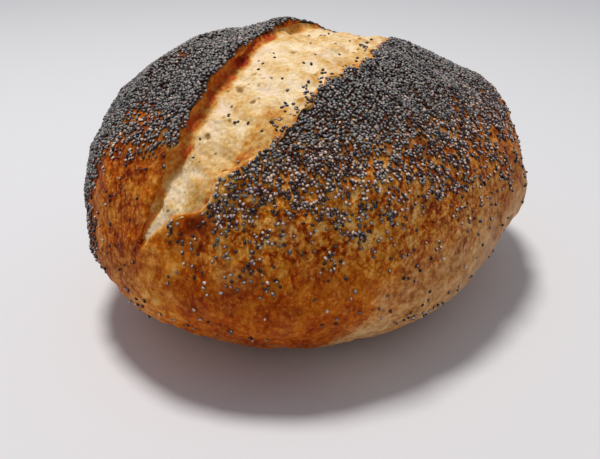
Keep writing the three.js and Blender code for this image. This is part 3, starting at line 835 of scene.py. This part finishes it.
# Bare skin: on the red patch, on the other side of the cut's near end under a line that falls away from the
# lip, and in the bald spots. A strip of seed is left between these.
RED_PATCH_BARE = (6, 8, 4.5)  # radii
BARE_LINE_PLACES = (-8, 1, 10, 23, 32, 42)  # across the loaf
BARE_LINE_HEIGHTS = (87, 82, 80, 73, 61, 40)
SEED_STRIP = (-84, 7, 83)
SEED_STRIP_SIZE = (5, 10, 2.5)
chance *= 1 - 0.9 * np.clip(1.3 * patch(seed_place, RED_PATCH, RED_PATCH_BARE), 0, 1)
bare_line = np.interp(seed_aside, BARE_LINE_PLACES, BARE_LINE_HEIGHTS)
bare = smoothstep(-62, -74, seed_along) * smoothstep(-14, -8, seed_aside)
bare *= smoothstep(3.5, -3.5, seed_height - bare_line + 0.7 * wander) * smoothstep(46, 58, seed_height)
chance *= 1 - 0.97 * bare
for middle, radii, bareness in BALD_SPOTS:
    chance *= 1 - bareness * patch(seed_place, middle, radii)
chance = np.maximum(chance, 0.85 * patch(seed_place, SEED_STRIP, SEED_STRIP_SIZE))
kept = (on_open | on_back) & (random.uniform(size=len(even)) < chance)
seed_place, seed_normal = seed_place[kept], seed_normal[kept]

# Seeds crowded along the edge of the lip
LIP_SEEDS = 500
LIP_SEED_ENDS = (0.2, 0.97)  # shares of the rings between which they lie
LIP_SEED_COLUMNS = 7  # behind the lip
LIP_SEED_HEIGHT = 84  # under which there are none
crowd_ring = random.uniform(*LIP_SEED_ENDS, LIP_SEEDS) * CRUST_RINGS
crowd_column = lip_column + random.uniform(0, LIP_SEED_COLUMNS, LIP_SEEDS)
crowd_place = on_grid(crust_grid, crowd_ring, crowd_column)
crowd = crowd_place[:, 2] > LIP_SEED_HEIGHT
seed_place = np.concatenate((seed_place, crowd_place[crowd]))
seed_normal = np.concatenate((seed_normal, on_grid(crust_normals, crowd_ring, crowd_column)[crowd]))

# Loose seeds in the cut, most of them by its open edge, and a third of them spilled over it at three places
LOOSE_SEEDS = 270
LOOSE_ENDS = (-82, 72)  # along the loaf
SPILLS = np.array((-1, -36, -52))  # along the loaf
SPILLED_SHARE = 0.32
SPILL_SPREAD = 7
EDGE_MARGIN = 0.02  # share of the crumb's columns that stays free beside the open edge
loose_along = random.uniform(*LOOSE_ENDS, LOOSE_SEEDS)
spilled = random.uniform(size=LOOSE_SEEDS) < SPILLED_SHARE
spill_along = random.choice(SPILLS, LOOSE_SEEDS) + random.normal(0, SPILL_SPREAD, LOOSE_SEEDS)
loose_along = np.where(spilled, spill_along, loose_along)
loose_ring = np.interp(-loose_along, -crumb_share * LENGTH / 2, np.arange(CRUMB_RINGS))
spilled_inward = 0.16 * random.uniform(0, 1, LOOSE_SEEDS) ** 2
rolled_inward = 0.73 * random.uniform(0, 1, LOOSE_SEEDS) ** 4
loose_column = (EDGE_MARGIN + np.where(spilled, spilled_inward, rolled_inward)) * CRUMB_COLUMNS
crumb_normals = grid_normals(crumb_grid)
seed_place = np.concatenate((seed_place, on_grid(crumb_grid, loose_ring, loose_column)))
seed_normal = np.concatenate((seed_normal, on_grid(crumb_normals, loose_ring, loose_column)))
seed_count = len(seed_place)

# Each seed's own axes: lying flat, turned at random and a little tilted
LOOSE_SINK = 0.3  # how much deeper loose seeds lie in the crumb
seed_size = np.clip(random.normal(1, 0.09, seed_count), 0.75, 1.25)[:, None]
seed_lift = random.uniform(0.1, 0.42, seed_count)[:, None]
seed_lift[-LOOSE_SEEDS:] -= LOOSE_SINK
tilted = seed_normal + random.normal(0, 0.3, (seed_count, 3))
tilted /= np.linalg.norm(tilted, axis=1, keepdims=True)
lengthways = np.cross(tilted, random.normal(size=(seed_count, 3)))
lengthways /= np.linalg.norm(lengthways, axis=1, keepdims=True)
sideways = np.cross(tilted, lengthways)
seed_middle = seed_place + seed_lift * seed_normal


def kidney(rings, sides):
    """Points of a unit kidney: rings round a long axis, thickest in the middle, bent to one side by the
    square of the place along the axis, with an end point at each end."""
    along = np.pi * np.arange(1, rings + 1)[:, None] / (rings + 1)
    around = 2 * np.pi * np.arange(sides) / sides
    body = np.stack(np.broadcast_arrays(
        np.cos(along), np.sin(along) * np.cos(around), np.sin(along) * np.sin(around)), -1)
    points = np.concatenate((((1, 0, 0),), body.reshape(-1, 3), ((-1, 0, 0),))) / 2
    points[:, 1] += SEED_BEND * (points[:, 0] ** 2 - 0.125)
    return points


seed_shape = kidney(SEED_RINGS, SEED_SIDES) * (SEED_LENGTH, SEED_WIDTH, SEED_HEIGHT)
seed_quads, seed_triangles, seed_maps = ring_faces(SEED_RINGS, SEED_SIDES)

# Kinds of coat: paler kinds on the crown, darker ones lower down, and among the dark ones single seeds differ
# more
SEED_KINDS = ("slate", "steel_blue", "blue_black", "violet_brown", "ash")
CROWN_SHARES = (0.3, 0.32, 0.18, 0.03, 0.17)  # of the kinds on the crown
FLANK_SHARES = (0.06, 0.06, 0.42, 0.4, 0.06)  # of the kinds on the flanks
HIGHLIGHT_FROM_ABOVE = 0.8  # how far the side with the painted highlight turns from outward to upward
flank_height = seed_place[:, 2] + FAR_SIDE_LOWER * smoothstep(18, 36, seed_place[:, 1])
low = smoothstep(93, 72, flank_height)[:, None]
shares = np.cumsum((1 - low) * CROWN_SHARES + low * FLANK_SHARES, 1)
kind_of = np.minimum((random.uniform(size=(seed_count, 1)) > shares).sum(1), len(SEED_KINDS) - 1)
seed_tone = random.uniform(0, 1, seed_count)
uneven_coat = (kind_of == SEED_KINDS.index("blue_black")) | (kind_of == SEED_KINDS.index("violet_brown"))
seed_tone = np.where(uneven_coat, 1.8 * seed_tone - 0.5, seed_tone)
kind_of[-LOOSE_SEEDS:] = SEED_KINDS.index("blue_black")
highlight_side = seed_normal + (0, 0, HIGHLIGHT_FROM_ABOVE)
highlight_side /= np.linalg.norm(highlight_side, axis=1, keepdims=True)

# Poppy seed coat: a netted, waxy skin, dark, with a painted highlight on its upper side, where the light
# from above falls. The net of the real one is finer, and is drawn coarser so that it shows.
# The pale colour of each kind shows mostly where the painted highlight lies.
SEED_SHADES = {  # dark, middling and pale colour, and the place of the middling one between them
    "slate": ("2c2a2a", "5e5b5a", "a29d9a", 0.55),
    "steel_blue": ("242426", "515254", "90908f", 0.55),
    "blue_black": ("160c13", "3a2c35", "beaaaa", 0.73),
    "violet_brown": ("22151a", "664b4a", "e8ceba", 0.65),
    "ash": ("413e3b", "736f6a", "b2aba4", 0.55),
}
NET_SIZE = 0.3
MAP_MARGIN = 0.1  # free border of each seed's cell in the map
for kind, kind_name in enumerate(SEED_KINDS):
    of_kind = np.flatnonzero(kind_of == kind)
    count = len(of_kind)
    corners = len(seed_shape)
    offset = seed_size[of_kind, None] * (
        seed_shape[None, :, 0:1] * lengthways[of_kind, None]
        + seed_shape[None, :, 1:2] * sideways[of_kind, None]
        + seed_shape[None, :, 2:3] * tilted[of_kind, None])
    points = (seed_middle[of_kind, None] + offset).reshape(-1, 3)
    # Painted highlight: how far each corner lies towards the seed's upper side, which the coat makes lighter
    painted_highlight = 0.5 + (offset * highlight_side[of_kind, None]).sum(-1).ravel() / SEED_HEIGHT
    step = (np.arange(count) * corners)[:, None, None]
    cells = int(np.ceil(np.sqrt(count)))
    cell = np.stack((np.arange(count) % cells, np.arange(count) // cells), -1)
    cell_maps = seed_maps * (1 - 2 * MAP_MARGIN) + MAP_MARGIN
    quad_maps, triangle_maps = np.split(cell_maps, [seed_quads.size])
    maps = np.concatenate(((cell[:, None] + quad_maps[None]).reshape(-1, 2),
                           (cell[:, None] + triangle_maps[None]).reshape(-1, 2))) / cells
    quads = (seed_quads[None] + step).reshape(-1, 4)
    triangles = (seed_triangles[None] + step).reshape(-1, 3)
    seeds = make_piece("poppy_seed_" + kind_name, points + to_frame, quads, triangles, maps,
                       {"tone": np.repeat(seed_tone[of_kind], corners), "painted_highlight": painted_highlight})

    seed_material, tree, shader = new_material("poppy_seed_coat_" + kind_name)
    toned, highlighted = (
        node(tree, "ShaderNodeAttribute", {"attribute_name": name}).outputs["Fac"]
        for name in ("tone", "painted_highlight"))
    place = node(tree, "ShaderNodeTexCoord").outputs["Object"]
    netting = node(tree, "ShaderNodeTexNoise", inputs={
        "Vector": place, "Scale": 1 / (NET_SIZE * MM)}).outputs["Fac"]
    worn = node(tree, "ShaderNodeMath", {"operation": "MULTIPLY_ADD"},
                {0: netting, 1: 0.6, 2: -0.3}).outputs[0]
    # Lighter on the upper side of the seed: painted highlight
    rubbed_and_highlit = node(tree, "ShaderNodeMath", {"operation": "MULTIPLY_ADD"},
                  {0: highlighted, 1: 1.4, 2: -0.75}).outputs[0]
    tone = node(tree, "ShaderNodeMath", {"operation": "MULTIPLY_ADD"},
                {0: toned, 1: 0.6, 2: worn}).outputs[0]
    tone = node(tree, "ShaderNodeMath", {"operation": "ADD"}, {0: tone, 1: rubbed_and_highlit}).outputs[0]
    dark, middling, light, middling_place = SEED_SHADES[kind_name]
    coat = node(tree, "ShaderNodeValToRGB", inputs={"Fac": tone},
                stops=((0.0, dark), (middling_place, middling), (1.0, light)))
    tree.links.new(coat.outputs["Color"], shader.inputs["Base Color"])
    shader.inputs["Roughness"].default_value = 0.45
    shader.inputs["IOR"].default_value = 1.55
    shader.inputs["Specular IOR Level"].default_value = 0.3
    seeds.data.materials.append(seed_material)
    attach(seeds, "root")
    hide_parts("loaf")

# Table and light
# A plain pale table, a soft sky all round, and one broad lamp high up and a little behind the loaf, as seen
# from the camera. Places and sizes are in metres.
TABLE_REACH = 3.0
TABLE_WHITE = "e6e7ec"
SKY_BLUE = "eef2fa"
SKY_STRENGTH = 0.32
LAMP_WHITE = "fffaf3"
LAMP_PLACE = (-0.02, 0.2, 1.25)
LAMP_AIM = (0, 0, 0.05)
LAMP_WIDTH = 0.28
LAMP_POWER = 11.5  # watts


def turned(place, aim):
    """Rotation that turns -Z from a place towards its aim, with +Y upward."""
    return (Vector(aim) - Vector(place)).to_track_quat("-Z", "Y").to_euler()


table_mesh = bpy.data.meshes.new("table")
table_corners = [(x * TABLE_REACH, y * TABLE_REACH, 0) for x, y in ((-1, -1), (1, -1), (1, 1), (-1, 1))]
table_mesh.from_pydata(table_corners, (), ((0, 1, 2, 3),))
table = bpy.data.objects.new("table", table_mesh)
bpy.context.scene.collection.objects.link(table)
table_material, tree, shader = new_material("matt_white_table")
shader.inputs["Base Color"].default_value = colour(TABLE_WHITE)
shader.inputs["Roughness"].default_value = 0.9
table_mesh.materials.append(table_material)

world = bpy.data.worlds.new("soft_sky")
world.use_nodes = True
sky = world.node_tree.nodes["Background"]
sky.inputs["Color"].default_value = colour(SKY_BLUE)
sky.inputs["Strength"].default_value = SKY_STRENGTH
bpy.context.scene.world = world

lamp_data = bpy.data.lights.new("broad_lamp", "AREA")
lamp_data.shape = "DISK"
lamp_data.size = LAMP_WIDTH
lamp_data.energy = LAMP_POWER
lamp_data.color = colour(LAMP_WHITE)[:3]
lamp = bpy.data.objects.new("broad_lamp", lamp_data)
lamp.location = LAMP_PLACE
lamp.rotation_euler = turned(LAMP_PLACE, LAMP_AIM)
bpy.context.scene.collection.objects.link(lamp)

# Camera
# Stands a little above the loaf, off its near end, at the photograph's viewing angle. Places are in metres,
# the lens and the frame in millimetres.
CAMERA_PLACE = (-0.22725, -0.18272, 0.16781)
CAMERA_AIM = (-0.0047, 0.00585, 0.0197)
LENS = 45.0
FRAME_WIDTH = 36.0
camera_data = bpy.data.cameras.new("camera")
camera_data.sensor_fit = "HORIZONTAL"
camera_data.sensor_width = FRAME_WIDTH
camera_data.lens = LENS
camera = bpy.data.objects.new("camera", camera_data)
camera.location = CAMERA_PLACE
camera.rotation_euler = turned(CAMERA_PLACE, CAMERA_AIM)
bpy.context.scene.collection.objects.link(camera)
bpy.context.scene.camera = camera
bpy.context.scene.view_settings.view_transform = "Standard"
